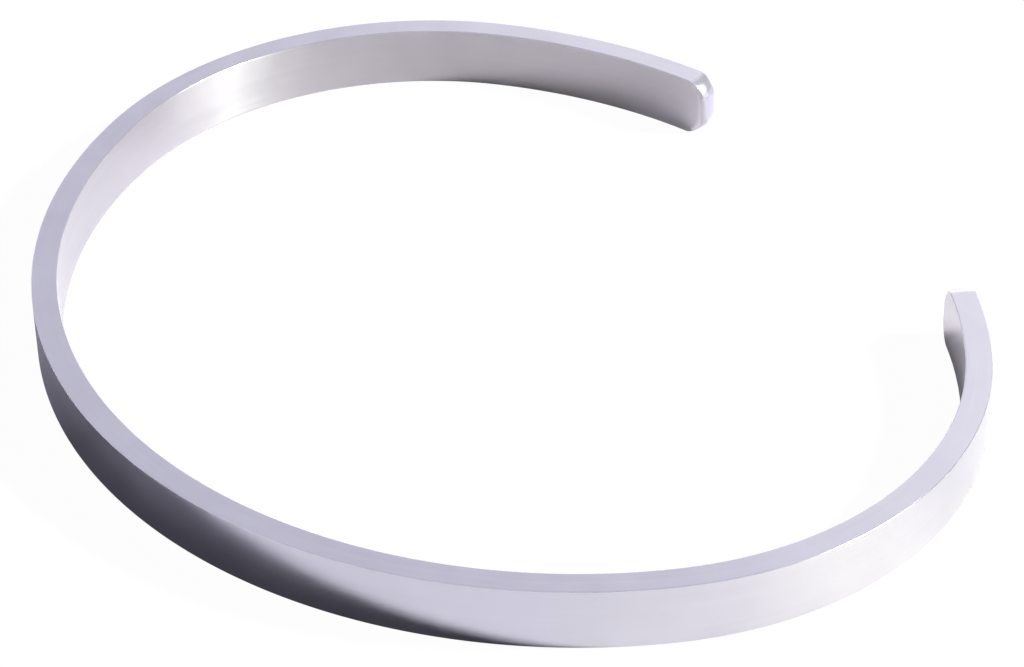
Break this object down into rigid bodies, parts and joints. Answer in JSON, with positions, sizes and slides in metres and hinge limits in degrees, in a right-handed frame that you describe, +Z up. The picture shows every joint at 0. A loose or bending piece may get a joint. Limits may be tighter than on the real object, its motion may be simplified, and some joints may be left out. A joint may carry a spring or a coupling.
{
  "type": "open cuff bangle",
  "caption": "Plain open cuff bangle: a flat satin metal bar bent edge-up to an oval, with rounded tips either side of the gap that lets a wrist in.",
  "frame": {"origin": "middle of the base of the bangle's box, on the surface that it lies on", "axes": "+X along the longer way across the oval, towards the shorter front arm; +Y towards the gap; +Z up, across the width of the bar"},
  "size_m": [0.0652, 0.0534, 0.004],
  "materials": {
    "steel": "satin"
  },
  "bodies": {
    "root": {"band": "steel"}
  },
  "joints": []
}
